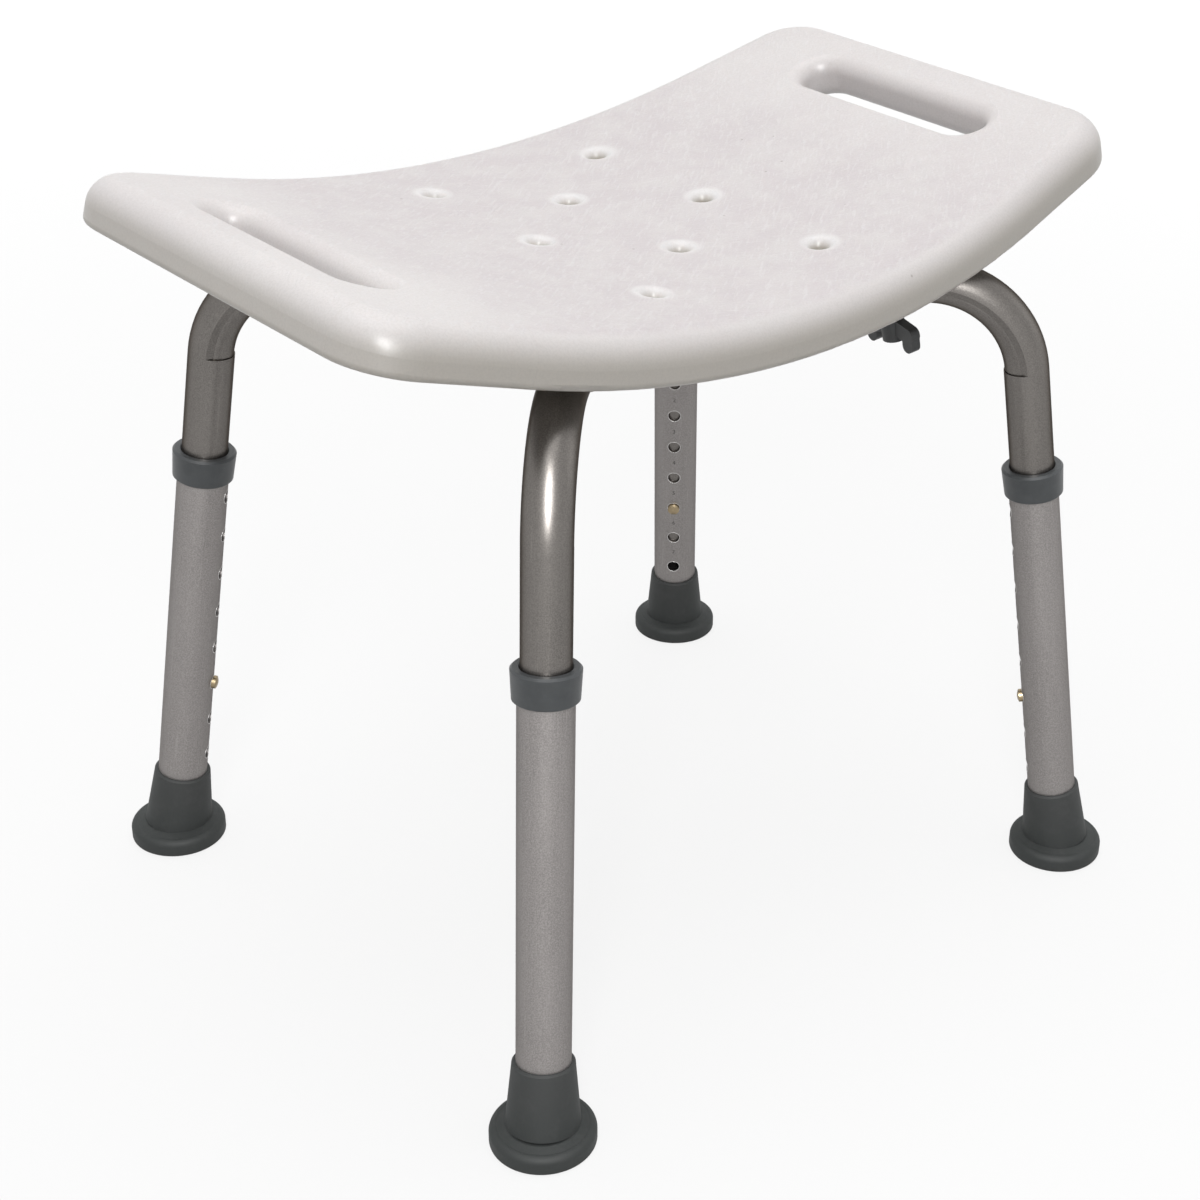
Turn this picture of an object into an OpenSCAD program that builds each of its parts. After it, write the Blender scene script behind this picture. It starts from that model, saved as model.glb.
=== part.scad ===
// Height-adjustable shower stool: a dished, hollow moulded seat on four splayed legs.
// Each bent upper tube lies in a cradle under the seat, held by an end socket and a
// wing screw. A lower tube slides on it and is set by a sprung snap button in one of
// eight holes. X runs along the seat, Y from front to back, and Z is up from the floor.

/* [Seat] */
// Length of the seat from side to side
seat_l = 508; // [440:4:580]
// Depth of the seat from front to back, at its middle
seat_d = 306; // [260:2:360]
// How far each long side draws in from the middle to the end of the dished length
seat_bow = 11; // [0:1:12]
// Thickness of the seat board
seat_t = 26; // [24:1:32]
// Height of the seat's top at its middle, above the floor
seat_h = 401; // [350:1:470]
// Wall of the hollow seat moulding
seat_wall = 3; // [2:0.5:4]
// Radius of the seat's corners seen from above
corner_r = 34; // [26:1:45]
// Radius of the soft edge round the seat's top
edge_r = 16; // [12:0.5:18]
// Radius of the edge round the seat's underside
under_r = 4; // [3.5:0.5:6]
// Radius of the dished middle, along the middle of the board's thickness
dish_r = 600; // [500:10:750]
// Slope of the flat ends, as the sine of their angle
end_sine = 0.28; // [0.24:0.01:0.3]

/* [Handles] */
// Length of a handle slot between its round ends
slot_l = 138; // [110:2:160]
// Width of a handle slot at its narrowest
slot_w = 26; // [22:1:30]
// Distance from the seat's end to the middle of the slot
slot_inset = 48; // [44:1:52]
// Radius of the rolled lip round a slot
slot_lip = 10; // [6:1:11]

/* [Drain holes] */
// Radius of a drain hole
drain_r = 4.5; // [3:0.5:6]
// Radius of the soft mouth round a drain hole
drain_lip = 6; // [3:0.5:6]
// Spacing of the drain columns along the seat
drain_dx = 58; // [45:1:70]
// Spacing of the outer drain rows from the middle row
drain_dy = 92; // [70:1:105]

/* [Legs] */
// Distance between the foot centres along the seat
stance_l = 404; // [360:2:460]
// Distance between the foot centres from front to back
stance_d = 362; // [320:2:400]
// Outward splay of a leg, in degrees
splay = 8.3; // [5:0.1:11]
// Outer diameter of the bent upper tube
upper_od = 25.4; // [22:0.2:27]
// Wall of both tubes
tube_wall = 1.2; // [1:0.1:1.6]
// Gap between the upper tube and the bore of the lower tube that slides on it
tube_gap = 0.4; // [0.2:0.1:0.8]
// Radius of the bend along the tube's centre line
bend_r = 57; // [45:1:65]
// Length of the tube that lies under the seat, past the bend
run_l = 86; // [80:1:90]
// Depth of the step where the bend's inner side is pressed in
bend_step = 0.6; // [0.5:0.1:1.5]
// How much tighter than the tube the pressed side's nose is rounded
nose_cut = 1.7; // [1.5:0.1:3]
// Height of the run's line where it meets the leg's line, above the seat's lowest face
run_lift = 3; // [0:0.5:6]
// Place of the lower end of the upper tube, along the leg from the floor
upper_start = 75; // [70:1:80]
// Place of the lower tube's top end, along the leg from the floor
lower_top = 262; // [255:1:265]

/* [Height setting] */
// Radius of the height holes
hole_r = 4; // [3:0.1:4.5]
// Spacing of the height holes
hole_pitch = 25; // [20:0.5:27]
// Number of height holes
hole_count = 8; // [6:1:8]
// Hole in use, counted from the top
hole_used = 6; // [4:1:6]
// Place of the hole in use, along the leg from the floor
hole_used_s = 112.5; // [105:0.5:120]
// How far the snap button stands out of the lower tube
button_out = 3; // [2:0.5:4]

/* [Collars and feet] */
// Height of a collar
collar_h = 17; // [14:1:20]
// Wall of a collar round the lower tube, at its top
collar_wall = 3.3; // [2:0.1:4.5]
// Height of a rubber foot
foot_h = 48; // [42:1:55]
// How far a foot's flange stands out past the foot of its sleeve
flange_out = 8.2; // [6:0.2:12]
// Thickness of a foot's flange at its rim
flange_t = 11; // [9:0.5:14]
// Wall of a foot's sleeve at its top
sleeve_wall = 2.1; // [1.5:0.1:3]

/* [Wing screws] */
// Radius of the stud of a wing screw
stud_r = 3; // [2.5:0.5:4]
// Span of the wings from tip to tip
wing_span = 38; // [32:1:44]
// Thickness of the wings
wing_t = 6; // [4:0.5:8]

/* [Hidden] */
$fn = 72;

// Colours
WHITE = [0.93, 0.91, 0.90];
ALUMINIUM = [0.72, 0.72, 0.71];
GREY = [0.33, 0.35, 0.36];
DARK = [0.20, 0.21, 0.21];
BRASS = [0.78, 0.62, 0.30];
STEEL = [0.60, 0.60, 0.62];

// Corner of each leg as signs of X and Y, the turn of its inward diagonal and its wings' turn
FL = [-1, -1, 45, 8];
FR = [1, -1, 135, -50];
BR = [1, 1, 225, 20];
BL = [-1, 1, 315, 40];
CORNERS = [FL, FR, BR, BL];

cut = 1;            // how far a cutter passes the face that it opens
slack = 0.1;        // running clearance of a shaft in a hole
loose = 0.3;        // clearance between pieces that only lie near each other
lip_step = 0.2;     // a rolled lip meets its face this much short of tangent

// Seat: the middle of its thickness is an arc with a straight length at each end
half_t = seat_t / 2;
mid_z = seat_h - half_t;
end_slope = asin(end_sine);
dish_run = dish_r * end_sine;
dish_top = mid_z + dish_r;
end_flat = (seat_l / 2 - dish_run - under_r - (half_t - under_r) * end_sine) / cos(end_slope) + under_r;
over_sweep = 3;     // degrees that the dish is swept past its ends before they are cut square
seam = 0.05;        // each stretch of the rim lies this much inside the one it joins
// Each long side follows an arc that leans inward from the dish, then a straight taper
roll_y = seat_d / 2 - edge_r;
roll_z = half_t - edge_r;
roll_sweep = dish_r - roll_z;
side_lean = atan(seat_bow / (roll_sweep * (1 - cos(end_slope))));
side_turn = 2 * atan(tan(end_slope / 2) / cos(side_lean));
side_r = roll_sweep * end_sine / sin(side_turn);
side_twist = asin(cos(side_lean) * sin(side_lean) * (1 - cos(side_turn)));
taper = asin(sin(side_turn) * sin(side_lean));
taper_y = roll_y - side_r * (1 - cos(side_turn)) * sin(side_lean);
corner_x = end_flat - corner_r;
corner_y = taper_y - corner_x * tan(taper) - (corner_r - edge_r) / cos(taper);
under_step = 0.5;   // the lower edge's roll meets the underside this much short of tangent
drain_post_r = drain_r + drain_lip + seat_wall;

// Leg line: along the leg from the floor, then round a square bend to the run under the seat
upper_r = upper_od / 2;
upper_bore_r = upper_r - tube_wall;
lower_r = upper_r + tube_gap + tube_wall;
run_s = round(10 * (seat_h - seat_t + run_lift) / cos(splay)) / 10;
bend_s = run_s - bend_r;
run_end = bend_r + run_l;
nose_r = upper_r - nose_cut;
nose_depth = upper_r - bend_step;
press_turn = 120;   // where the pressed side's flats meet its nose, in degrees
press_dip = 0.4;    // how far inside the nose the flats end

// Wing screw: through the run just past the bend
screw_x = bend_r + 15;
insert_r = stud_r + 2;
insert_h = 12;
insert_s = run_s + upper_r + 1;
washer_t = 1.5;
washer_r = stud_r + 6;
washer_s = run_s - nose_depth - washer_t;
hub_r = stud_r + 4.5;
hub_h = 19;
hub_draft = 1.5;
hub_grip = 9;       // length of stud held in the hub
wing_root_w = 9;
wing_tip_w = 8;
wing_root_z = 10;   // from the hub's lower end up to the middle of a blade's root
wing_slope = 4;     // how far a blade falls on its way out to the elbow
wing_drop = 6;      // how far it turns down past the elbow

// Cradle under the seat that takes the run, with a socket at its inner end
cradle_w = upper_od + 10;
cradle_x = bend_r + 3;
plug_head = 2;
plug_stem = 12;
socket_end = run_end + plug_head + loose;
socket_l = 18;
socket_r = upper_r + 3.5;
cradle_end = socket_end + 4;
cradle_middle = (cradle_x + cradle_end) / 2;
cradle_inward = cradle_middle * cos(splay) + run_s * sin(splay);
cradle_rise = board_z(stance_l / 2 - cradle_inward / sqrt(2))
    - (run_s * cos(splay) - cradle_middle * sin(splay));
cradle_h = cradle_rise / cos(splay) - half_t + 5;   // reaches into the hollow at every corner
boss_r = insert_r + 4;

// Lower leg
hole_top_s = hole_used_s + (hole_used - 1) * hole_pitch;
foot_floor = 7;     // rubber under the washer, along the leg
foot_washer_t = 1.5;
lower_start = foot_floor + foot_washer_t;
collar_r = lower_r + collar_wall;
collar_lip = 3;     // collar above the tube's end
collar_edge = 1.2;
collar_taper = 0.8;
button_r = hole_r - slack;
button_lip = 1;     // how far the button's foot stands past its sides
button_foot = 1;    // thickness of the button's foot
// The spring's leaves lie against the bore: the front one under the button, the back one opposite
spring_t = 0.8;
spring_w = 7;
spring_l = 34;
spring_front = sqrt(pow(upper_bore_r, 2) - pow(button_r + button_lip, 2)) - button_foot - 2 * slack;
spring_back = sqrt(pow(upper_bore_r, 2) - pow(spring_w / 2, 2)) - slack;

// Foot
sleeve_r = lower_r + sleeve_wall;
sleeve_flare = 3.4; // how much wider the sleeve is at its foot
flange_r = sleeve_r + sleeve_flare + flange_out;
shoulder_h = 1.5;   // rise of the flange up to the sleeve
flange_edge = 4;    // round edge of the flange's rim above
sole_edge = 2;      // and below
sleeve_edge = 1;
sole_ring = 9;      // from the flange's rim to the recess under the sole
sole_depth = 2;

// Height of the middle of the board's thickness at a distance x from the seat's middle
function board_z(x) = x < dish_run ? dish_top - sqrt(dish_r * dish_r - x * x)
    : dish_top - dish_r * cos(end_slope) + (x - dish_run) * tan(end_slope);

// Frame of a leg: x runs inward on the diagonal from the foot, z is up
module leg_frame(c) {
    translate([c[0] * stance_l / 2, c[1] * stance_d / 2, 0]) rotate([0, 0, c[2]]) children();
}

// The same with z along the splayed leg
module on_leg(c) {
    leg_frame(c) rotate([0, splay, 0]) children();
}

// Frame of a flat end: x runs along its slope from the dish, z is its normal
module end_frame(side) {
    mirror([side < 0 ? 1 : 0, 0, 0])
        translate([dish_run, 0, dish_top - dish_r * cos(end_slope)]) rotate([0, -end_slope, 0]) children();
}

// Frame on the dished part at a distance x from the middle, z is its normal
module on_dish(x) {
    translate([0, 0, dish_top]) rotate([0, -asin(x / dish_r), 0])
        translate([0, 0, -dish_r]) children();
}

// Flat bar with round ends between two points of a plane
module bar2d(a, b, w) {
    d = b - a;
    translate(a) rotate(atan2(d[1], d[0])) translate([0, -w / 2]) square([norm(d), w]);
    translate(a) circle(d = w);
    translate(b) circle(d = w);
}

// Section of what lies outside a board's rim, from the middle of its soft upper edge
module rim_cutter(s) {
    top = edge_r - s;
    low = under_r - s;
    under = edge_r - seat_t + s;
    low_z = under + low - under_step;
    difference() {
        translate([0, under - cut]) square([4 * edge_r, top - under + 2 * cut]);
        translate([0, lip_step]) circle(r = top);
        translate([-cut, under - 2 * cut]) square([top - low + cut, lip_step - under + 2 * cut]);
        translate([-cut, low_z]) square([top + cut, lip_step - low_z]);
        translate([top - low, low_z]) circle(r = low);
    }
}

// Sweeps a section along a long side of the dish
module sweep_side() {
    translate([0, roll_y, dish_top - roll_sweep]) rotate([side_lean - 90, 0, 0]) translate([0, -side_r, 0])
        rotate_extrude(angle = 2 * (side_turn + over_sweep), start = 90 - side_turn - over_sweep, $fn = 360)
            translate([side_r, 0]) rotate(90 - side_lean + side_twist) children();
}

// Cuts the rim of one flat end, s inside: tapered sides, end edge and corners
module end_rim(s) {
    translate([0, 0, roll_z]) {
        for (side = [0, 1]) mirror([0, side, 0]) {
            translate([0, taper_y, 0]) rotate([0, 0, -taper]) translate([-edge_r, 0, 0]) rotate([90, 0, 90])
                linear_extrude(edge_r + (corner_x + (corner_r - edge_r) * sin(taper)) / cos(taper) + cut)
                    rim_cutter(s + seam);
            translate([corner_x, corner_y, 0]) rotate_extrude(angle = 90 - taper)
                translate([corner_r - edge_r, 0]) rim_cutter(s + 2 * seam);
        }
        translate([end_flat - edge_r, corner_y + cut, 0]) rotate([90, 0, 0])
            linear_extrude(2 * (corner_y + cut)) rim_cutter(s + seam);
    }
}

// The seat board, smaller by s on every side
module board(s) {
    w = seat_d + 2 * cut;
    t = seat_t - 2 * s;
    difference() {
        translate([0, 0, dish_top]) rotate([90, 0, 0])
            rotate_extrude(angle = 2 * (end_slope + over_sweep), start = 270 - end_slope - over_sweep, $fn = 360)
                translate([dish_r - t / 2, -w / 2]) square([t, w]);
        for (side = [0, 1]) mirror([0, side, 0]) sweep_side() rim_cutter(s);
        for (side = [-1, 1]) end_frame(side) translate([0, -seat_d, -seat_t]) cube([seat_l, 2 * seat_d, 2 * seat_t]);
    }
    for (side = [-1, 1]) end_frame(side) difference() {
        translate([0, -w / 2, -t / 2]) cube([end_flat + cut, w, t]);
        end_rim(s);
    }
}

// Half-section of a cutter for a hole of radius r whose mouths roll out by a lip
module rolled_section(r, lip, top, bottom) {
    difference() {
        translate([0, -half_t - cut]) square([r + lip, seat_t + 2 * cut]);
        translate([r, bottom ? lip - half_t : -half_t - cut])
            square([lip + cut, seat_t + (top ? -lip : cut) + (bottom ? -lip : cut)]);
        if (top) translate([r + lip, half_t - lip + lip_step]) circle(r = lip);
        if (bottom) translate([r + lip, lip - half_t - lip_step]) circle(r = lip);
    }
}

// Cutter for a handle slot with both mouths rolled, along y
module slot_cutter() {
    r = slot_w / 2;
    half = slot_l / 2 - r;
    for (y = [-half, half]) translate([0, y, 0]) rotate_extrude() rolled_section(r, slot_lip, true, true);
    translate([0, half, 0]) rotate([90, 0, 0]) linear_extrude(2 * half) {
        rolled_section(r, slot_lip, true, true);
        mirror([1, 0]) rolled_section(r, slot_lip, true, true);
    }
}

// Wall of moulding that runs down through the hollow round a slot
module slot_post() {
    w = slot_w + 2 * seat_wall + slot_lip;
    half = (slot_l - slot_w) / 2;
    translate([0, 0, -half_t]) linear_extrude(seat_t) bar2d([0, -half], [0, half], w);
}

// The drain holes: outer columns of three and a middle column of two
module at_drains() {
    for (x = [-drain_dx, drain_dx]) for (y = [-drain_dy, 0, drain_dy])
        on_dish(x) translate([0, y, 0]) children();
    for (y = [-drain_dy, drain_dy]) on_dish(0) translate([0, y / 2, 0]) children();
}

// Cradle for one leg: a pad with a half-round channel and a socket at its inner end
module cradle() {
    translate([0, 0, run_s]) linear_extrude(cradle_h)
        bar2d([cradle_x + cradle_w / 2, 0], [cradle_end - cradle_w / 2, 0], cradle_w);
    translate([socket_end - socket_l, 0, run_s]) rotate([0, 90, 0])
        cylinder(r = socket_r, h = socket_l + cradle_end - socket_end);
    translate([screw_x, 0, insert_s]) cylinder(r = boss_r, h = insert_h + seat_wall);
}

// What one leg cuts out of its cradle: the channel for the tube and the insert's seat
module cradle_cutter() {
    translate([cradle_x - cut, 0, run_s]) rotate([0, 90, 0])
        cylinder(r = upper_r + slack, h = socket_end - cradle_x + cut);
    translate([screw_x, 0, run_s]) cylinder(r = insert_r, h = insert_s + insert_h - run_s);
}

module seat() {
    color(WHITE) difference() {
        union() {
            difference() {
                board(0);
                difference() {
                    board(seat_wall);
                    for (side = [-1, 1]) end_frame(side) translate([end_flat - slot_inset, 0, 0]) slot_post();
                    at_drains() translate([0, 0, -half_t]) cylinder(r = drain_post_r, h = seat_t);
                }
            }
            for (c = CORNERS) on_leg(c) cradle();
        }
        for (side = [-1, 1]) end_frame(side) translate([end_flat - slot_inset, 0, 0]) slot_cutter();
        at_drains() rotate_extrude() rolled_section(drain_r, drain_lip, true, false);
        for (c = CORNERS) on_leg(c) cradle_cutter();
    }
}

// Ring of a round tube
module round_ring(r, wall) {
    difference() {
        circle(r = r);
        circle(r = r - wall);
    }
}

// Disc whose half at negative x is pressed to a narrower nose, with a crease at each side
module pressed_disc(inset) {
    r = upper_r - inset;
    nose = nose_r - inset;
    middle = nose_r - nose_depth;
    shoulder = [middle + (nose - press_dip) * cos(press_turn), (nose - press_dip) * sin(press_turn)];
    intersection() {
        circle(r = r);
        translate([0, -2 * r]) square([2 * r, 4 * r]);
    }
    translate([middle, 0]) circle(r = nose);
    polygon([[0, -r], [r / 2, 0], [0, r], shoulder, [shoulder[0], -shoulder[1]]]);
}

module pressed_ring() {
    difference() {
        pressed_disc(0);
        pressed_disc(tube_wall);
    }
}

module upper_leg(c) {
    color(ALUMINIUM) on_leg(c) difference() {
        union() {
            translate([0, 0, upper_start]) linear_extrude(bend_s - upper_start)
                round_ring(upper_r, tube_wall);
            translate([bend_r, 0, bend_s]) rotate([90, 0, 0])
                rotate_extrude(angle = 90, start = 90, $fn = 180)
                    translate([bend_r, 0]) pressed_ring();
            translate([bend_r, 0, run_s]) rotate([0, 90, 0]) linear_extrude(run_l)
                mirror([1, 0]) pressed_ring();
        }
        translate([screw_x, 0, run_s - upper_r - cut]) cylinder(r = stud_r + loose, h = upper_od + 2 * cut);
        translate([0, 0, hole_used_s]) rotate([0, 90, 0]) cylinder(r = hole_r, h = upper_r + cut);
    }
}

// Plug in the inner end of the run
module end_plug(c) {
    color(DARK) on_leg(c) translate([run_end, 0, run_s]) rotate([0, 90, 0]) mirror([1, 0, 0]) {
        linear_extrude(plug_head) pressed_disc(0);
        translate([0, 0, -plug_stem]) linear_extrude(plug_stem) pressed_disc(tube_wall + slack);
    }
}

// Threaded brass insert moulded into the cradle above the tube
module insert(c) {
    color(BRASS) on_leg(c) translate([screw_x, 0, insert_s]) difference() {
        cylinder(r = insert_r, h = insert_h);
        translate([0, 0, -cut]) cylinder(r = stud_r + slack / 2, h = insert_h);
    }
}

module wing_washer(c) {
    color(STEEL) on_leg(c) translate([screw_x, 0, washer_s]) difference() {
        cylinder(r = washer_r, h = washer_t);
        translate([0, 0, -cut]) cylinder(r = stud_r + loose, h = washer_t + 2 * cut);
    }
}

module wing_stud(c) {
    top = insert_s + insert_h - 2 * cut;
    bottom = washer_s - hub_grip;
    color(STEEL) on_leg(c) translate([screw_x, 0, bottom]) cylinder(r = stud_r, h = top - bottom);
}

// Hub with two blades that spread outward and then turn down
module wing_knob(c) {
    elbow = [wing_span / 2 - wing_tip_w / 2, wing_root_z - wing_slope];
    color(DARK) on_leg(c) translate([screw_x, 0, washer_s - hub_h]) rotate([0, 0, c[3]])
        difference() {
            union() {
                cylinder(r1 = hub_r - hub_draft, r2 = hub_r, h = hub_h);
                translate([0, wing_t / 2, 0]) rotate([90, 0, 0]) linear_extrude(wing_t)
                    for (side = [0, 1]) mirror([side, 0]) {
                        bar2d([0, wing_root_z], elbow, wing_root_w);
                        bar2d(elbow, elbow - [0, wing_drop], wing_tip_w);
                    }
            }
            translate([0, 0, hub_h - hub_grip]) cylinder(r = stud_r, h = hub_grip + cut);
        }
}

// Leaf spring bent like a hairpin inside the upper tube
module snap_spring(c) {
    outer = (spring_front + spring_back) / 2;
    middle = (spring_front - spring_back) / 2;
    color(STEEL) on_leg(c) translate([middle, spring_w / 2, hole_used_s]) rotate([90, 0, 0])
        linear_extrude(spring_w) {
            intersection() {
                translate([0, spring_l]) round_ring(outer, spring_t);
                translate([-outer, spring_l]) square([2 * outer, outer]);
            }
            for (x = [-outer, outer - spring_t]) translate([x, -hole_r]) square([spring_t, spring_l + hole_r]);
        }
}

// Snap button with a domed head, held behind the upper tube's wall by its foot
module snap_button(c) {
    tip = lower_r + button_out;
    dome = 2 * button_r;
    color(BRASS) on_leg(c) translate([0, 0, hole_used_s]) rotate([0, 90, 0]) {
        translate([0, 0, spring_front]) cylinder(r = button_r + button_lip, h = button_foot);
        intersection() {
            translate([0, 0, spring_front]) cylinder(r = button_r, h = tip - spring_front);
            translate([0, 0, tip - dome]) sphere(r = dome);
        }
    }
}

// Lower tube with its row of height holes on the side that faces inward
module lower_leg(c) {
    color(ALUMINIUM) on_leg(c) difference() {
        translate([0, 0, lower_start]) linear_extrude(lower_top - lower_start)
            round_ring(lower_r, tube_wall);
        for (i = [0 : hole_count - 1]) translate([0, 0, hole_top_s - i * hole_pitch])
            rotate([0, 90, 0]) cylinder(r = hole_r, h = lower_r + cut);
    }
}

// Collar on the lower tube's end, bored to guide the upper tube
module collar(c) {
    bore = upper_r + slack;
    ledge = collar_h - collar_lip;
    color(GREY) on_leg(c) translate([0, 0, lower_top - ledge]) rotate_extrude() polygon([
        [bore, ledge], [lower_r, ledge], [lower_r, 0],
        [collar_r - collar_taper - collar_edge / 2, 0], [collar_r - collar_taper, collar_edge / 2],
        [collar_r, collar_h - collar_edge], [collar_r - collar_edge, collar_h],
        [bore + collar_edge / 2, collar_h], [bore, collar_h - collar_edge / 2]
    ]);
}

// Steel washer that spreads the tube's load into the rubber
module foot_washer(c) {
    color(STEEL) on_leg(c) translate([0, 0, foot_floor]) cylinder(r = lower_r, h = foot_washer_t);
}

// Half-section of the foot's flange: a flat sole, a rim with round edges and a low shoulder
module flange_section() {
    difference() {
        square([flange_r, flange_t]);
        translate([flange_r - flange_edge, flange_t - flange_edge]) square(flange_edge + cut);
        translate([flange_r - sole_edge, -cut]) square(sole_edge + cut);
    }
    translate([flange_r - flange_edge, flange_t - flange_edge]) circle(r = flange_edge);
    translate([flange_r - sole_edge, sole_edge]) circle(r = sole_edge);
    polygon([[0, 0], [flange_r - flange_edge, 0], [flange_r - flange_edge, flange_t],
        [sleeve_r + sleeve_flare, flange_t + shoulder_h], [0, flange_t + shoulder_h]]);
}

// Rubber foot: a tapered sleeve in line with the leg on a flange that lies flat
module foot(c) {
    shift = flange_t / 2 * tan(splay);
    taper_top = foot_h - sleeve_edge;
    color(DARK) difference() {
        union() {
            leg_frame(c) translate([shift, 0, 0]) rotate_extrude() flange_section();
            on_leg(c) {
                translate([0, 0, flange_t])
                    cylinder(r1 = sleeve_r + sleeve_flare, r2 = sleeve_r, h = taper_top - flange_t);
                translate([0, 0, taper_top]) cylinder(r1 = sleeve_r, r2 = sleeve_r - sleeve_edge, h = sleeve_edge);
            }
        }
        on_leg(c) translate([0, 0, foot_floor]) cylinder(r = lower_r, h = foot_h);
        leg_frame(c) translate([shift, 0, -cut]) cylinder(r = flange_r - sole_ring, h = cut + sole_depth);
    }
}

seat();
upper_leg(FL);  // upper_leg_fl
upper_leg(FR);  // upper_leg_fr
upper_leg(BR);  // upper_leg_br
upper_leg(BL);  // upper_leg_bl
end_plug(FL);  // end_plug_fl
end_plug(FR);  // end_plug_fr
end_plug(BR);  // end_plug_br
end_plug(BL);  // end_plug_bl
insert(FL);  // insert_fl
insert(FR);  // insert_fr
insert(BR);  // insert_br
insert(BL);  // insert_bl
wing_washer(FL);  // wing_washer_fl
wing_washer(FR);  // wing_washer_fr
wing_washer(BR);  // wing_washer_br
wing_washer(BL);  // wing_washer_bl
wing_stud(FL);  // wing_stud_fl
wing_stud(FR);  // wing_stud_fr
wing_stud(BR);  // wing_stud_br
wing_stud(BL);  // wing_stud_bl
wing_knob(FL);  // wing_knob_fl
wing_knob(FR);  // wing_knob_fr
wing_knob(BR);  // wing_knob_br
wing_knob(BL);  // wing_knob_bl
snap_spring(FL);  // snap_spring_fl
snap_spring(FR);  // snap_spring_fr
snap_spring(BR);  // snap_spring_br
snap_spring(BL);  // snap_spring_bl
snap_button(FL);  // snap_button_fl
snap_button(FR);  // snap_button_fr
snap_button(BR);  // snap_button_br
snap_button(BL);  // snap_button_bl
lower_leg(FL);  // lower_leg_fl
lower_leg(FR);  // lower_leg_fr
lower_leg(BR);  // lower_leg_br
lower_leg(BL);  // lower_leg_bl
collar(FL);  // collar_fl
collar(FR);  // collar_fr
collar(BR);  // collar_br
collar(BL);  // collar_bl
foot_washer(FL);  // foot_washer_fl
foot_washer(FR);  // foot_washer_fr
foot_washer(BR);  // foot_washer_br
foot_washer(BL);  // foot_washer_bl
foot(FL);  // foot_fl
foot(FR);  // foot_fr
foot(BR);  // foot_br
foot(BL);  // foot_bl
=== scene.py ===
import math

import bmesh
import bpy
from mathutils import Matrix, Vector


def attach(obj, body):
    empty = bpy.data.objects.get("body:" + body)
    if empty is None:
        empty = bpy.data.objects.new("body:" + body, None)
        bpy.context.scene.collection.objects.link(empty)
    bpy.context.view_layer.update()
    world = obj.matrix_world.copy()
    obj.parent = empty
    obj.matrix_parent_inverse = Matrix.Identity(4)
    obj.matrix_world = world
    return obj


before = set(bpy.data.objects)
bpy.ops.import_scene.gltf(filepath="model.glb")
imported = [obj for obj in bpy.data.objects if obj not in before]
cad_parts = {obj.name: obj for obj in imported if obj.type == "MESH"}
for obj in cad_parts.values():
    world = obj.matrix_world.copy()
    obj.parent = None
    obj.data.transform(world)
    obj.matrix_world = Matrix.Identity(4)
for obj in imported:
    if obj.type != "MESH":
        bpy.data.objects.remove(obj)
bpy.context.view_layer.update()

# All sizes are in metres and all angles in radians, unless a name or comment says otherwise.

# Corners of the stool: signs of X and Y, and the turn of the inward diagonal in degrees
CORNERS = {"fl": (-1, -1, 45), "fr": (1, -1, 135), "br": (1, 1, 225), "bl": (-1, 1, 315)}

# Legs: names that end in S are heights up the splayed tube, from the floor
STANCE = (0.202, 0.181)
SPLAY = math.radians(8.3)
LOWER_R = 0.0143
BEND_R = 0.057
RUN_S = 0.382
BEND_S = RUN_S - BEND_R
# Further than any point of a leg
FAR = 1.0

# Height holes, their rims and the numbers between them
HOLE_R = 0.004
HOLE_PITCH = 0.025
HOLE_COUNT = 8
HOLE_TOP_S = 0.2375
RIM_WIRE_R = 0.00022
RIM_SINK = 0.00006
RIM_SIDES = 8
RIM_STEPS = 40
NUMBER_H = 0.0042
NUMBER_INK_T = 0.00008
NUMBER_CURVE_STEPS = 3
MERGE_GAP = 1e-7

# Tread in the recess of a sole, whose centre is off the foot's because the leg is splayed
FOOT_FLANGE_T = 0.011
SOLE_SHIFT = FOOT_FLANGE_T / 2 * math.tan(SPLAY)
TREAD_Z = 0.00125
TREAD_FIRST_R = 0.0035
TREAD_STEP = 0.004
TREAD_COUNT = 4
RIB_W = 0.002
RIB_H = 0.0018
RIB_TOP_SHARE = 0.6
RIB_STEPS = 64

# Seat: drain holes, and how far the long sides bow in at a distance from the middle
DRAIN_DX = 0.058
DRAIN_DY = 0.092
BOW_DEPTH = 0.011
BOW_REACH = 0.168

# Each pair is where a zone of the seat's finish and of its painted shade and highlight starts to
# show, and where it shows in full
BRUSHED_TILT = (0.80, 0.93)
BRUSHED_Y = (0.147, 0.140)
BRUSHED_X = (0.246, 0.239)
MOUTH_R = (0.0130, 0.0070)
MIDDLE_TONE_X = (0.215, 0.120)
SLOT_INNER_X = (0.172, 0.180)
SLOT_OUTER_X = (0.238, 0.230)
SLOT_Y = (0.095, 0.085)
UNDERSIDE_TILT = (0.92, 0.0)

# Foot: heights over which grime gives way to rubber, and dust settles
GRIME_Z = (0.004, 0.0)
DUST_Z = (0.012, 0.048)


def leg_frame(corner):
    """X inward on the diagonal from the foot, Z up."""
    sx, sy, turn = CORNERS[corner]
    place = Matrix.Translation((sx * STANCE[0], sy * STANCE[1], 0))
    return place @ Matrix.Rotation(math.radians(turn), 4, "Z")


def on_leg(corner):
    """The same with Z along the splayed leg."""
    return leg_frame(corner) @ Matrix.Rotation(SPLAY, 4, "Y")


def link(name, data):
    """A new object in the scene."""
    made = bpy.data.objects.new(name, data)
    bpy.context.scene.collection.objects.link(made)
    return made


# ---------------------------------------------------------------- node trees


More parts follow.
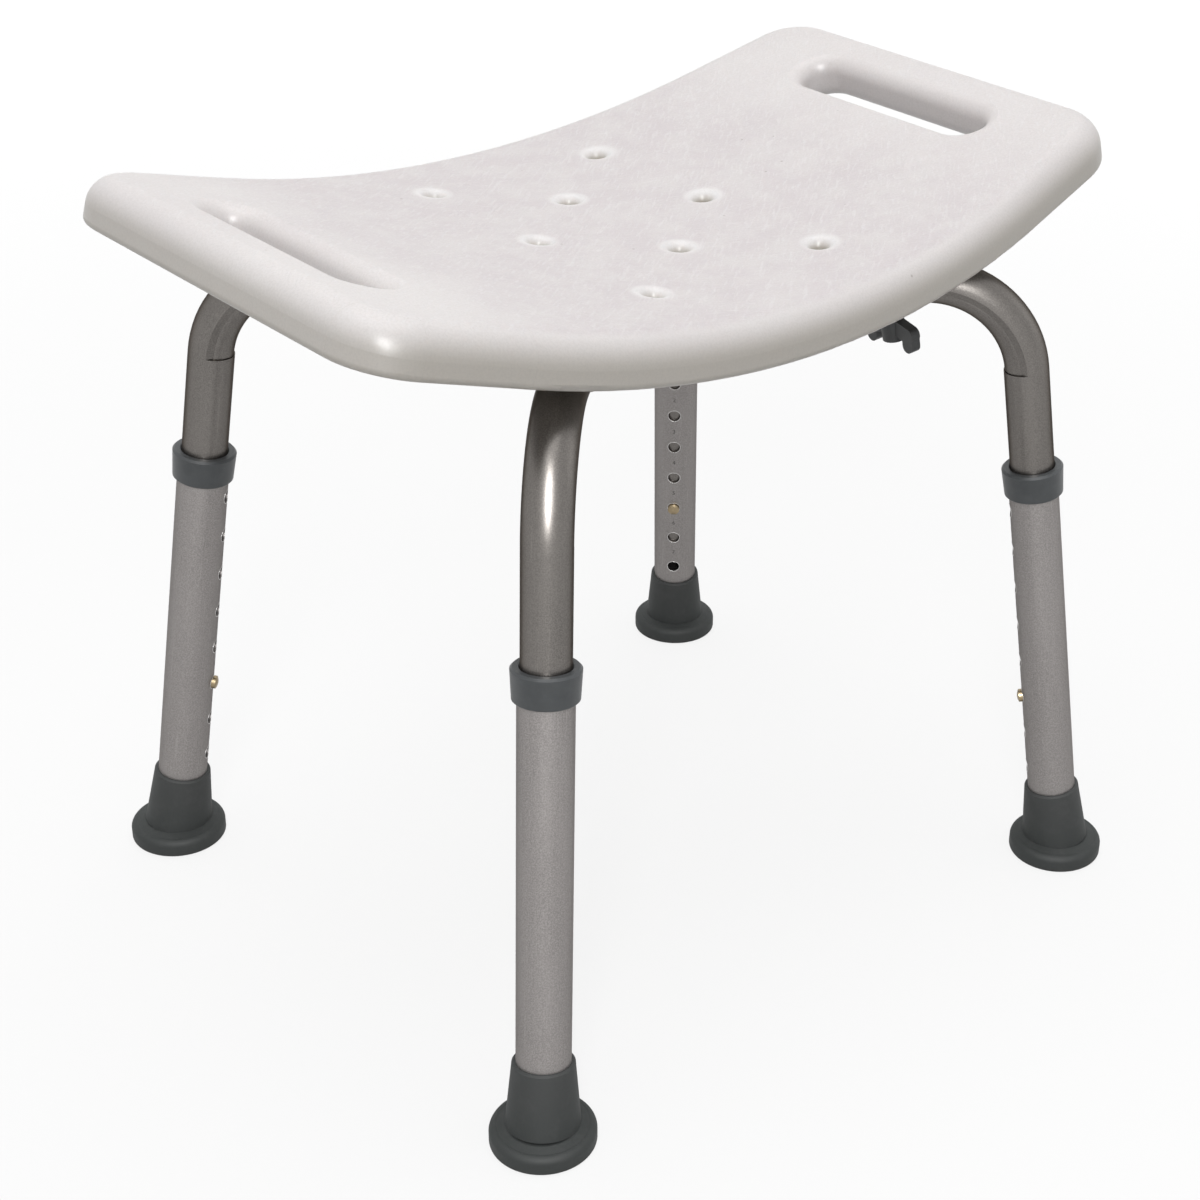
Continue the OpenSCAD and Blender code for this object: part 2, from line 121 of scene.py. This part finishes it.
class Wire:
    """An output socket on which Python arithmetic adds Math nodes."""

    def __init__(self, graph, socket):
        self.graph = graph
        self.socket = socket

    def _do(self, operation, *values):
        made = self.graph.add("ShaderNodeMath", dict(enumerate(values)), operation=operation)
        return made["Value"]

    def __add__(self, other):
        return self._do("ADD", self, other)

    __radd__ = __add__

    def __sub__(self, other):
        return self._do("SUBTRACT", self, other)

    def __rsub__(self, other):
        return self._do("SUBTRACT", other, self)

    def __mul__(self, other):
        return self._do("MULTIPLY", self, other)

    __rmul__ = __mul__

    def __abs__(self):
        return self._do("ABSOLUTE", self)

    def sqrt(self):
        return self._do("SQRT", self)

    def min(self, other):
        return self._do("MINIMUM", self, other)

    def clamp(self, low, high):
        return self._do("MINIMUM", self._do("MAXIMUM", self, low), high)

    def atan2(self, other):
        return self._do("ARCTAN2", self, other)

    def ramp(self, start, end):
        """0 up to start, 1 from end on, smooth between; start may be the larger."""
        sockets = {"Value": self, "From Min": start, "From Max": end}
        made = self.graph.add("ShaderNodeMapRange", sockets, interpolation_type="SMOOTHSTEP")
        return made["Result"]


class Made:
    """A node, whose outputs are wires."""

    def __init__(self, graph, node):
        self.graph = graph
        self.node = node

    def __getitem__(self, name):
        return Wire(self.graph, self.node.outputs[name])


class Graph:
    """A node tree that is filled by one method."""

    # A Mix node's colour sockets share their names with its others, so they go by place
    MIX_FIRST, MIX_SECOND, MIX_RESULT = 6, 7, 2

    def __init__(self, tree):
        self.tree = tree

    def add(self, kind, sockets=None, **settings):
        node = self.tree.nodes.new(kind)
        for name, value in settings.items():
            setattr(node, name, value)
        self.fill(node, sockets or {})
        return Made(self, node)

    def fill(self, node, sockets):
        """Link the wires and set the values."""
        for name, value in sockets.items():
            if isinstance(value, Wire):
                self.tree.links.new(value.socket, node.inputs[name])
            else:
                node.inputs[name].default_value = value

    def mix(self, factor, first, second):
        """Colour mix."""
        sockets = {"Factor": factor, self.MIX_FIRST: first, self.MIX_SECOND: second}
        return self.add("ShaderNodeMix", sockets, data_type="RGBA")[self.MIX_RESULT]

    def noise(self, vector, scale, detail=2.0, roughness=0.5):
        sockets = {"Vector": vector, "Scale": scale, "Detail": detail, "Roughness": roughness}
        return self.add("ShaderNodeTexNoise", sockets)["Fac"]

    def turned(self, vector, **sockets):
        """The vector as read in a frame that is moved, turned and stretched."""
        sockets["Vector"] = vector
        return self.add("ShaderNodeMapping", sockets, vector_type="TEXTURE")["Vector"]

    def split(self, vector):
        made = self.add("ShaderNodeSeparateXYZ", {"Vector": vector})
        return made["X"], made["Y"], made["Z"]

    def join(self, x, y, z):
        return self.add("ShaderNodeCombineXYZ", {"X": x, "Y": y, "Z": z})["Vector"]

    def place(self):
        return self.add("ShaderNodeTexCoord")["Object"]

    def bump(self, height, depth, strength, below=None):
        sockets = {"Height": height, "Distance": depth, "Strength": strength}
        if below is not None:
            sockets["Normal"] = below
        return self.add("ShaderNodeBump", sockets)["Normal"]


def finish_of(name):
    """A new material: itself, its graph and its Principled shader's node."""
    material = bpy.data.materials.new(name)
    material.use_nodes = True
    nodes = material.node_tree.nodes
    return material, Graph(material.node_tree), nodes["Principled BSDF"]


def set_shader(graph, shader, **sockets):
    graph.fill(shader, {name.replace("_", " "): value for name, value in sockets.items()})


def rgb(r, g, b):
    return (r, g, b, 1.0)


def shade(colour, by):
    """The colour lighter or darker, with no channel above 1."""
    return rgb(*(min(1.0, by * channel) for channel in colour[:3]))


# ---------------------------------------------------------------- finishes

# A pair is mixed by noise
SEAT_CLEAN = (rgb(0.820, 0.780, 0.775), rgb(0.860, 0.825, 0.815))
SEAT_MIDDLE_TONE = (rgb(0.745, 0.692, 0.702), rgb(0.790, 0.750, 0.748))
# Painted highlight in the mouths of the drain holes
SEAT_MOUTH_HIGHLIGHT = rgb(0.90, 0.88, 0.88)
SEAT_SCORED = rgb(0.89, 0.865, 0.865)
# Painted shade on the seat's sides and underside, darker and warmer than the top
SEAT_PAINTED_SHADE = rgb(0.660, 0.622, 0.560)
SEAT_DUST = rgb(0.50, 0.47, 0.44)
SEAT_FLECK = rgb(0.40, 0.35, 0.33)
# Darker than bare aluminium: partly the tubes' own grey, partly a painted reflection of dark
# surroundings, most on the upper tube
UPPER_TUBE = rgb(0.152, 0.142, 0.133)
LOWER_TUBE = rgb(0.292, 0.275, 0.268)
TUBE_SHEEN = rgb(0.22, 0.21, 0.20)
COLLAR_GREY = rgb(0.064, 0.070, 0.074)
WING_GREY = rgb(0.043, 0.045, 0.046)
RUBBER = rgb(0.038, 0.043, 0.042)
RUBBER_DUSTED = rgb(0.076, 0.078, 0.078)
RUBBER_GRIMY = rgb(0.030, 0.029, 0.027)
BRASS = rgb(0.34, 0.27, 0.17)
STEEL = rgb(0.52, 0.52, 0.53)
BURNISHED = rgb(0.62, 0.61, 0.60)
INK = (rgb(0.085, 0.080, 0.078), rgb(0.190, 0.180, 0.175))


def seat_plastic():
    """Off-white moulded polyethylene: brushed with short strokes on top, smooth on the rim."""
    material, g, shader = finish_of("seat_plastic")
    here = g.place()
    x, y, _ = g.split(here)
    facing = g.split(g.add("ShaderNodeNewGeometry")["Normal"])[2]

    # Brushed field, which follows the bowed sides and ends short of the rim
    drawn_in = (abs(x) * (1.0 / BOW_REACH)).clamp(0.0, 1.0)
    edge = abs(y) + drawn_in * drawn_in * BOW_DEPTH
    on_top = facing.ramp(*BRUSHED_TILT) * edge.ramp(*BRUSHED_Y) * abs(x).ramp(*BRUSHED_X)

    # Mouths of the drain holes, whitened as a painted highlight: two rows of three, and two
    # between them
    outer = abs(x) - DRAIN_DX
    middle = abs(y) - DRAIN_DY / 2
    corner = abs(y) - DRAIN_DY
    to_side = outer * outer + y * y
    to_corner = outer * outer + corner * corner
    to_middle = x * x + middle * middle
    mouth = to_side.min(to_corner.min(to_middle)).sqrt().ramp(*MOUTH_R)
    field = on_top * (1.0 - mouth)

    # Short strokes that lie on the diagonal of the seat, and finer ones that cross them
    def strokes_at(degrees, stretch, scale, start, end):
        turned = g.turned(
            here, Rotation=(0.0, 0.0, math.radians(degrees)), Scale=(stretch, 1.0, 1.0))
        return g.noise(turned, scale, detail=2.0, roughness=0.55).ramp(start, end)

    strokes = strokes_at(38, stretch=7.0, scale=520.0, start=0.50, end=0.70)
    crossed = strokes_at(-24, stretch=8.0, scale=760.0, start=0.56, end=0.72)
    peel = g.noise(here, 900.0, detail=3.0, roughness=0.6)
    swell = g.noise(here, 28.0)

    # Greyer and pinker towards the middle of the top, whiter towards the handles and the rim
    patch = g.noise(here, 7.0, detail=3.0, roughness=0.55)
    toward_middle = field * (abs(x) + (patch - 0.5) * 0.10).ramp(*MIDDLE_TONE_X)
    clean = g.mix(patch.ramp(0.3, 0.7), *SEAT_CLEAN)
    mottle = g.noise(here, 42.0, detail=5.0, roughness=0.7).ramp(0.36, 0.66)
    patchy = g.mix(mottle, *SEAT_MIDDLE_TONE)
    toned = g.mix(toward_middle, clean, patchy)
    # Painted highlight: the drain mouths are whitened
    mouth_highlighted = g.mix(mouth * 0.85, toned, SEAT_MOUTH_HIGHLIGHT)
    scored = g.mix(field * (strokes * 0.38 + crossed * 0.34), mouth_highlighted, SEAT_SCORED)

    # Painted shade, darker and warmer, on the sides and underside, apart from the walls of the
    # handle slots
    slot = abs(x).ramp(*SLOT_INNER_X) * abs(x).ramp(*SLOT_OUTER_X) * abs(y).ramp(*SLOT_Y)
    painted_shade = facing.ramp(*UNDERSIDE_TILT) * (1.0 - slot)
    with_painted_shade = g.mix(painted_shade * 0.9, scored, SEAT_PAINTED_SHADE)

    # Dust in the texture, and a few dark flecks
    dusty = g.mix(peel.ramp(0.35, 0.70) * 0.16, with_painted_shade, SEAT_DUST)
    cells = g.add("ShaderNodeTexVoronoi", {"Vector": here, "Scale": 46.0}, feature="F1")
    few = g.noise(here, 13.0, detail=0.0).ramp(0.52, 0.58)
    flecks = cells["Distance"].ramp(0.045, 0.02) * few
    flecked = g.mix(flecks * 0.55, dusty, SEAT_FLECK)

    shape = g.bump(swell, depth=0.0012, strength=0.25)
    skin = g.bump(peel, depth=0.00012, strength=0.30, below=shape)
    marks = field * (strokes * 0.9 + crossed * 0.6 + peel * 0.6)
    set_shader(
        g, shader, Base_Color=flecked, Roughness=0.33 + field * 0.16 + peel * 0.06,
        Normal=g.bump(marks, depth=0.00025, strength=0.60, below=skin),
        IOR=1.5, Specular_IOR_Level=0.42,
        Subsurface_Weight=0.08, Subsurface_Scale=0.004, Subsurface_Radius=(1.0, 0.8, 0.7))
    return material


def tube_metal(name, colour, metal, dull, line_depth, speckle):
    """Satin anodised aluminium, drawn lengthwise; the lines follow the leg round its bend."""
    material, g, shader = finish_of(name)

    # One corner's leg frame serves all four, on coordinates with their signs dropped
    turn = math.radians(CORNERS["br"][2])
    mirrored = g.add("ShaderNodeVectorMath", {0: g.place()}, operation="ABSOLUTE")["Vector"]
    local = g.turned(mirrored, Location=(*STANCE, 0.0), Rotation=(0.0, SPLAY, turn))
    inward, side, up = g.split(local)

    # Distances across and along the tube, taken round the bend
    past = up - BEND_S
    reach = BEND_R - inward
    bent = past.atan2(reach).clamp(0.0, math.pi / 2)
    level = past.clamp(0.0, FAR)
    before = reach.clamp(0.0, FAR)
    across = (level * level + before * before).sqrt()
    along = up.clamp(-FAR, BEND_S) + bent * BEND_R + inward.clamp(BEND_R, FAR)

    def lengthwise(stretch, scale, detail, roughness):
        drawn_out = g.join(across, side, along * stretch)
        return g.noise(drawn_out, scale, detail, roughness)

    drawn = lengthwise(0.012, scale=2600.0, detail=3.0, roughness=0.65)
    cloud = lengthwise(0.25, scale=60.0, detail=3.0, roughness=0.5)
    rubs = lengthwise(0.03, scale=900.0, detail=1.0, roughness=0.5).ramp(0.70, 0.78)
    grain = g.noise(local, 1500.0, detail=3.0, roughness=0.7)

    base = g.mix(cloud.ramp(0.25, 0.75), shade(colour, 0.86), colour)
    specks = grain.ramp(0.36, 0.66)
    lighter = rubs * 0.35 + drawn.ramp(0.45, 0.75) * 0.2 + specks * speckle
    lines = g.bump(drawn, line_depth, strength=0.5)
    set_shader(
        g, shader, Base_Color=g.mix(lighter, base, shade(colour, 1.42)), Metallic=metal,
        Roughness=dull + (cloud - 0.5) * 0.12 + grain * 0.06,
        Specular_Tint=TUBE_SHEEN,
        Normal=g.bump(grain, depth=0.00005, strength=0.7, below=lines))
    return material


def moulded_plastic(name, colour, dull, fine):
    """Satin moulded plastic with a fine tool texture and paler rubbed places."""
    material, g, shader = finish_of(name)
    here = g.place()
    grain = g.noise(here, fine, detail=3.0, roughness=0.6)
    cloud = g.noise(here, 70.0, detail=3.0, roughness=0.6)
    scuffs = g.noise(here, 420.0, detail=4.0, roughness=0.7).ramp(0.62, 0.74)
    base = g.mix(cloud.ramp(0.3, 0.7), colour, shade(colour, 1.28))
    set_shader(
        g, shader, Base_Color=g.mix(scuffs * 0.30, base, shade(colour, 1.8)),
        Roughness=dull + grain * 0.16 - scuffs * 0.06, Specular_IOR_Level=0.5,
        Normal=g.bump(grain, depth=0.00008, strength=0.55))
    return material


def foot_rubber():
    """Dark grey rubber, dusted towards the top of the sleeve, with a moulded grain."""
    material, g, shader = finish_of("foot_rubber")
    here = g.place()
    height = g.split(here)[2]
    grain = g.noise(here, 2200.0, detail=3.0, roughness=0.65)
    blotch = g.noise(here, 90.0, detail=4.0, roughness=0.6)
    dust = height.ramp(*DUST_Z) * 0.45 + blotch.ramp(0.45, 0.75) * 0.35
    base = g.mix(dust, RUBBER, RUBBER_DUSTED)
    dirty = g.mix(height.ramp(*GRIME_Z) * 0.5, base, RUBBER_GRIMY)
    uneven = g.bump(blotch, depth=0.0005, strength=0.3)
    set_shader(
        g, shader, Base_Color=dirty, Roughness=0.56 + grain * 0.2 + dust * 0.1,
        Normal=g.bump(grain, depth=0.00012, strength=0.6, below=uneven),
        Specular_IOR_Level=0.45)
    return material


def plain_metal(name, colour, dull, fine):
    """Small turned or plated metal pieces, lightly scratched."""
    material, g, shader = finish_of(name)
    here = g.place()
    grain = g.noise(here, fine, detail=3.0, roughness=0.6)
    stain = g.noise(here, 260.0, detail=3.0, roughness=0.6)
    set_shader(
        g, shader, Base_Color=g.mix(stain.ramp(0.35, 0.7), colour, shade(colour, 0.72)),
        Metallic=1.0, Roughness=dull + stain * 0.15 + grain * 0.05,
        Normal=g.bump(grain, depth=0.00004, strength=0.5))
    return material


def number_ink():
    """Dark ink of the height numbers, worn thin in places."""
    material, g, shader = finish_of("number_ink")
    patchy = g.noise(g.place(), 900.0, detail=3.0, roughness=0.7)
    set_shader(
        g, shader, Base_Color=g.mix(patchy.ramp(0.48, 0.62), *INK), Roughness=0.50 + patchy * 0.2,
        Normal=g.bump(patchy, depth=0.00003, strength=0.5))
    return material


UPPER_ALUMINIUM = tube_metal(
    "upper_aluminium", UPPER_TUBE, metal=0.95, dull=0.29, line_depth=0.00001, speckle=0.75)
LOWER_ALUMINIUM = tube_metal(
    "lower_aluminium", LOWER_TUBE, metal=0.60, dull=0.40, line_depth=0.00002, speckle=0.80)
COLLAR_PLASTIC = moulded_plastic("collar_plastic", COLLAR_GREY, dull=0.34, fine=1800.0)
WING_PLASTIC = moulded_plastic("wing_plastic", WING_GREY, dull=0.38, fine=1600.0)
FOOT_RUBBER = foot_rubber()
SEAT_PLASTIC = seat_plastic()
BUTTON_BRASS = plain_metal("button_brass", BRASS, dull=0.22, fine=2600.0)
PLATED_STEEL = plain_metal("plated_steel", STEEL, dull=0.28, fine=2600.0)
BARE_METAL = plain_metal("bare_metal", BURNISHED, dull=0.30, fine=3000.0)
NUMBER_INK = number_ink()

FINISHES = {
    "seat": SEAT_PLASTIC, "upper_leg": UPPER_ALUMINIUM, "end_plug": WING_PLASTIC,
    "insert": BUTTON_BRASS, "wing_washer": PLATED_STEEL, "wing_stud": PLATED_STEEL,
    "wing_knob": WING_PLASTIC, "snap_spring": PLATED_STEEL, "snap_button": BUTTON_BRASS,
    "lower_leg": LOWER_ALUMINIUM, "collar": COLLAR_PLASTIC, "foot_washer": PLATED_STEEL,
    "foot": FOOT_RUBBER,
}
for node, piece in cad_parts.items():
    kind = node if node in FINISHES else node.rsplit("_", 1)[0]
    piece.data.materials.clear()
    piece.data.materials.append(FINISHES[kind])


# ---------------------------------------------------------------- repeated and fitted details


class ShapeGraph(Graph):
    """A geometry tree with named inputs, which ends in real geometry with its material."""

    def __init__(self, name):
        super().__init__(bpy.data.node_groups.new(name, "GeometryNodeTree"))
        self.group_in = self.tree.nodes.new("NodeGroupInput")
        self.tree.interface.new_socket(
            name="Geometry", in_out="OUTPUT", socket_type="NodeSocketGeometry")
        self.group_out = self.tree.nodes.new("NodeGroupOutput")

    def named_input(self, name, kind="NodeSocketFloat"):
        self.tree.interface.new_socket(name=name, in_out="INPUT", socket_type=kind)
        return Wire(self, self.group_in.outputs[name])

    def circle(self, steps, radius):
        sockets = {"Resolution": steps, "Radius": radius}
        return self.add("GeometryNodeCurvePrimitiveCircle", sockets, mode="RADIUS")["Curve"]

    def row(self, count, **sockets):
        sockets = {name.replace("_", " "): value for name, value in sockets.items()}
        return self.add("GeometryNodeMeshLine", {"Count": count, **sockets}, mode="OFFSET")["Mesh"]

    def on_points(self, points, instance, **sockets):
        sockets.update(Points=points, Instance=instance)
        return self.add("GeometryNodeInstanceOnPoints", sockets)["Instances"]

    def swept(self, curve, section):
        sockets = {"Curve": curve, "Profile Curve": section}
        return self.add("GeometryNodeCurveToMesh", sockets)["Mesh"]

    def realized(self, geometry):
        return self.add("GeometryNodeRealizeInstances", {"Geometry": geometry})["Geometry"]

    def end(self, geometry, material):
        sockets = {"Geometry": self.realized(geometry), "Material": material}
        done = self.add("GeometryNodeSetMaterial", sockets)["Geometry"]
        self.fill(self.group_out, {"Geometry": done})
        return self.tree


def hole_rim_tree():
    """Burnished rims round a row of holes, bent to the wall of the drilled tube."""
    g = ShapeGraph("hole_rims")
    tube = g.named_input("Tube Radius")
    radius = g.named_input("Rim Radius")
    wire = g.named_input("Wire Radius")
    top = g.named_input("Top Hole")
    pitch = g.named_input("Pitch")
    count = g.named_input("Count", "NodeSocketInt")
    material = g.named_input("Material", "NodeSocketMaterial")

    ring = g.circle(RIM_STEPS, radius)
    x, y, _ = g.split(g.add("GeometryNodeInputPosition")["Position"])
    wrapped = g.join((tube * tube - y * y).sqrt(), y, x)
    bent = g.add("GeometryNodeSetPosition", {"Geometry": ring, "Position": wrapped})["Geometry"]
    rim = g.swept(bent, g.circle(RIM_SIDES, wire))
    row = g.row(count, Start_Location=g.join(0.0, 0.0, top), Offset=g.join(0.0, 0.0, 0.0 - pitch))
    return g.end(g.on_points(row, rim), material)


def sole_tread_tree():
    """Concentric ribs moulded in the recess of a sole."""
    g = ShapeGraph("sole_tread")
    first = g.named_input("First Radius")
    step = g.named_input("Radius Step")
    width = g.named_input("Rib Width")
    height = g.named_input("Rib Height")
    count = g.named_input("Count", "NodeSocketInt")
    material = g.named_input("Material", "NodeSocketMaterial")

    places = g.row(count, Offset=(0.0, 0.0, 0.0))
    size = first + g.add("GeometryNodeInputIndex")["Index"] * step
    rings = g.on_points(places, g.circle(RIB_STEPS, 1.0), Scale=g.join(size, size, 1.0))
    section = g.add("GeometryNodeCurvePrimitiveQuadrilateral", {
        "Bottom Width": width, "Top Width": width * RIB_TOP_SHARE, "Height": height,
        "Offset": 0.0}, mode="TRAPEZOID")["Curve"]
    return g.end(g.swept(g.realized(rings), section), material)


def as_mesh(holder):
    """The evaluated object as a plain mesh."""
    bpy.context.view_layer.update()
    depsgraph = bpy.context.evaluated_depsgraph_get()
    return bpy.data.meshes.new_from_object(holder.evaluated_get(depsgraph))


def made_by(tree, name, place, **sizes):
    """One plain piece from a geometry tree, put in its place by the matrix."""
    holder = link(name + "_holder", bpy.data.meshes.new(name + "_holder"))
    modifier = holder.modifiers.new("shape", "NODES")
    modifier.node_group = tree
    for item in tree.interface.items_tree:
        if item.in_out == "INPUT":
            modifier[item.identifier] = sizes[item.name.replace(" ", "_")]
    mesh = as_mesh(holder)
    holder.modifiers.remove(modifier)
    bpy.data.objects.remove(holder)
    mesh.name = name
    mesh.transform(place)
    face_out(mesh)
    return link(name, mesh)


def face_out(mesh):
    """Merge doubles and turn every face outwards."""
    shape = bmesh.new()
    shape.from_mesh(mesh)
    bmesh.ops.remove_doubles(shape, verts=shape.verts, dist=MERGE_GAP)
    bmesh.ops.recalc_face_normals(shape, faces=shape.faces)
    shape.to_mesh(mesh)
    shape.free()


def flat_number(number):
    """A mesh of one number: across in X, up in Y, half its thickness on either side in Z."""
    text = bpy.data.curves.new("number", "FONT")
    text.body = str(number)
    text.size = NUMBER_H
    text.extrude = NUMBER_INK_T / 2
    text.align_x = "CENTER"
    text.align_y = "CENTER"
    text.resolution_u = NUMBER_CURVE_STEPS
    holder = link("number_holder", text)
    flat = as_mesh(holder)
    bpy.data.objects.remove(holder)
    return flat


def number_row(name, place):
    """The numbers between the height holes, thin raised ink bent to the tube."""
    whole = bmesh.new()
    for index in range(HOLE_COUNT - 1):
        flat = flat_number(index + 1)
        middle = HOLE_TOP_S - (index + 0.5) * HOLE_PITCH
        for vertex in flat.vertices:
            across, up, out = vertex.co
            wall = math.sqrt(LOWER_R ** 2 - across ** 2)
            vertex.co = (wall + out, across, middle + up)
        whole.from_mesh(flat)
        bpy.data.meshes.remove(flat)
    mesh = bpy.data.meshes.new(name)
    whole.to_mesh(mesh)
    whole.free()
    face_out(mesh)
    mesh.materials.append(NUMBER_INK)
    mesh.transform(place)
    return link(name, mesh)


def leg_details():
    """Rims, tread and numbers, which ride on the sliding part of each leg."""
    rims = hole_rim_tree()
    tread = sole_tread_tree()
    for corner in CORNERS:
        leg = "leg_" + corner
        rim = made_by(
            rims, "hole_rims_" + corner, on_leg(corner), Tube_Radius=LOWER_R - RIM_SINK,
            Rim_Radius=HOLE_R + RIM_WIRE_R, Wire_Radius=RIM_WIRE_R, Top_Hole=HOLE_TOP_S,
            Pitch=HOLE_PITCH, Count=HOLE_COUNT, Material=BARE_METAL)
        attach(rim, leg)
        in_sole = leg_frame(corner) @ Matrix.Translation((SOLE_SHIFT, 0, TREAD_Z))
        ribs = made_by(
            tread, "sole_tread_" + corner, in_sole, First_Radius=TREAD_FIRST_R,
            Radius_Step=TREAD_STEP, Rib_Width=RIB_W, Rib_Height=RIB_H, Count=TREAD_COUNT,
            Material=FOOT_RUBBER)
        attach(ribs, leg)
        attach(number_row("numbers_" + corner, on_leg(corner)), leg)


leg_details()


# ---------------------------------------------------------------- floor, lamps and camera

FLOOR_HALF = 12.0
FLOOR_GREY = 0.45
# The floor's own light is plain near the stool and grows with the distance from it
FLOOR_GLOW = 0.58
FLOOR_GLOW_FAR = 0.32
FLOOR_GLOW_R = (0.4, 2.6)
# A leg that is drawn out below the floor shows through it by this share
FLOOR_CLEAR = 0.6
AMBIENT = 0.30

# Name, place, target, width, height, power, and whether it only makes highlights
LAMPS = (
    ("overhead", (0.1, 0.2, 2.4), (0, 0, 0.3), 2.0, 2.0, 25.0, False),
    ("key", (-1.25, -1.30, 1.85), (0, 0, 0.3), 0.42, 1.20, 15.0, False),
    ("fill", (1.8, -0.9, 0.9), (0, 0, 0.25), 1.2, 1.2, 2.0, False),
    ("strip", (-1.22, -1.60, 1.5), (0, 0, 0.5), 0.36, 1.4, 62.0, True),
)

SENSOR_MM = 36.0
LENS_MM = 68.72
SHIFT = (-0.1384, -0.0009)
CAMERA_AT = (-0.7515, -0.8969, 0.8231)
YAW, PITCH, ROLL = (math.radians(degrees) for degrees in (44.11, 29.07, 2.33))


def seen_on(path):
    """1 for what is seen directly, in a reflection or through glass."""
    seen = path["Is Camera Ray"] + path["Is Glossy Ray"] + path["Is Transmission Ray"]
    return seen.clamp(0.0, 1.0)


def floor():
    """Pale floor that keeps the stool's shadow."""
    h = FLOOR_HALF
    mesh = bpy.data.meshes.new("floor")
    mesh.from_pydata([(-h, -h, 0), (h, -h, 0), (h, h, 0), (-h, h, 0)], [], [(0, 1, 2, 3)])
    material, g, shader = finish_of("studio_floor")
    path = g.add("ShaderNodeLightPath")
    x, y, _ = g.split(g.place())
    away = (x * x + y * y).sqrt().ramp(*FLOOR_GLOW_R)
    glow = seen_on(path) * (away * FLOOR_GLOW_FAR + FLOOR_GLOW)
    set_shader(
        g, shader, Base_Color=rgb(FLOOR_GREY, FLOOR_GREY, FLOOR_GREY), Roughness=0.9,
        Specular_IOR_Level=0.1, Emission_Color=g.join(glow, glow, glow), Emission_Strength=1.0)
    solid = Wire(g, shader.outputs["BSDF"])
    clear = g.add("ShaderNodeBsdfTransparent")["BSDF"]
    veil = g.add("ShaderNodeMixShader", {
        0: path["Is Camera Ray"] * FLOOR_CLEAR, 1: solid, 2: clear})["Shader"]
    g.fill(material.node_tree.nodes["Material Output"], {"Surface": veil})
    mesh.materials.append(material)
    link("floor", mesh)


def surroundings():
    """White where it is seen, and a low even light on the stool."""
    world = bpy.data.worlds.new("studio_world")
    bpy.context.scene.world = world
    world.use_nodes = True
    g = Graph(world.node_tree)
    seen = seen_on(g.add("ShaderNodeLightPath"))
    g.fill(world.node_tree.nodes["Background"], {
        "Strength": seen * (1.0 - AMBIENT) + AMBIENT, "Color": rgb(1.0, 1.0, 1.0)})


def lamps():
    for name, place, target, width, height, power, only_gloss in LAMPS:
        data = bpy.data.lights.new(name, "AREA")
        data.shape = "RECTANGLE"
        data.size = width
        data.size_y = height
        data.energy = power
        made = link(name, data)
        made.visible_camera = False
        made.visible_diffuse = not only_gloss
        aim = (Vector(target) - Vector(place)).to_track_quat("-Z", "Y")
        made.matrix_world = Matrix.Translation(place) @ aim.to_matrix().to_4x4()


def camera():
    data = bpy.data.cameras.new("camera")
    data.sensor_width = SENSOR_MM
    data.lens = LENS_MM
    data.shift_x, data.shift_y = SHIFT
    level = Vector((math.sin(YAW), math.cos(YAW), 0))
    forward = level * math.cos(PITCH) - Vector((0, 0, math.sin(PITCH)))
    right = Vector((math.cos(YAW), -math.sin(YAW), 0))
    up = right.cross(forward)
    rolled_right = right * math.cos(ROLL) + up * math.sin(ROLL)
    rolled_up = up * math.cos(ROLL) - right * math.sin(ROLL)
    made = link("camera", data)
    axes = Matrix((rolled_right, rolled_up, -forward)).transposed().to_4x4()
    made.matrix_world = Matrix.Translation(CAMERA_AT) @ axes
    bpy.context.scene.camera = made


floor()
surroundings()
lamps()
camera()
bpy.context.scene.view_settings.view_transform = "Standard"
